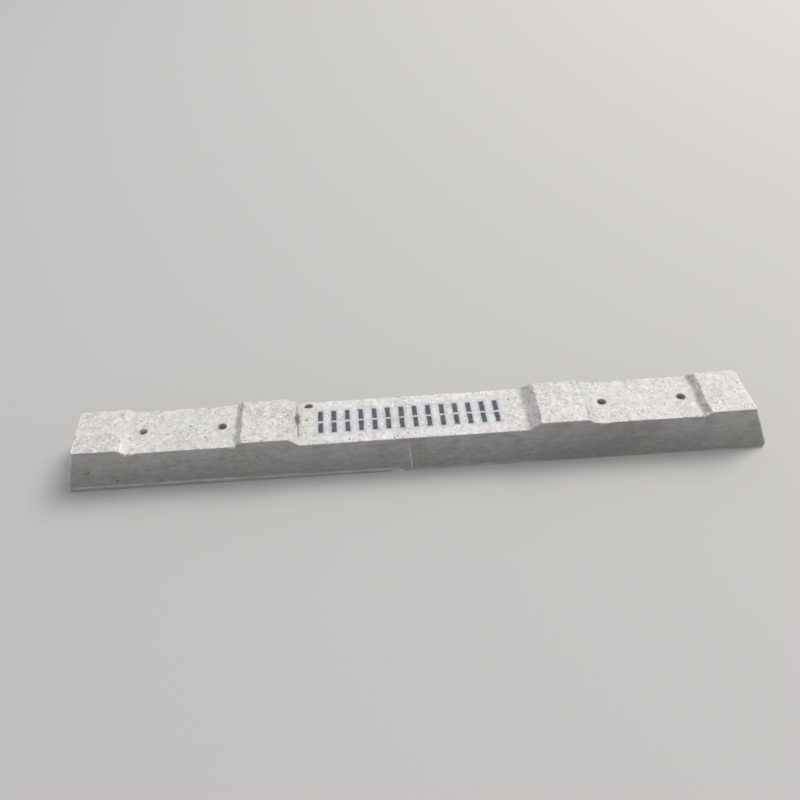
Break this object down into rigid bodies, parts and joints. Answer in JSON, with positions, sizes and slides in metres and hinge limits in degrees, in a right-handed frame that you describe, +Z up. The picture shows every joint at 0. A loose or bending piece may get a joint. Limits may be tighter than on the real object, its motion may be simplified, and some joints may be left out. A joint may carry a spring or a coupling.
{
  "type": "concrete railway sleeper",
  "caption": "Cast concrete sleeper: a drafted bar with level rail seats sunk between raised blocks, bolt holes through each seat and a lowered waist in the middle.",
  "frame": {"origin": "centre of the underside", "axes": "+X along the sleeper, across the track; +Y along the track; +Z up, out of the rail seats"},
  "size_m": [1.488, 0.142, 0.11],
  "materials": {
    "concrete": "rough cast concrete, pale grey, with small air holes"
  },
  "bodies": {
    "root": {"concrete_sleeper": "concrete"}
  },
  "joints": []
}
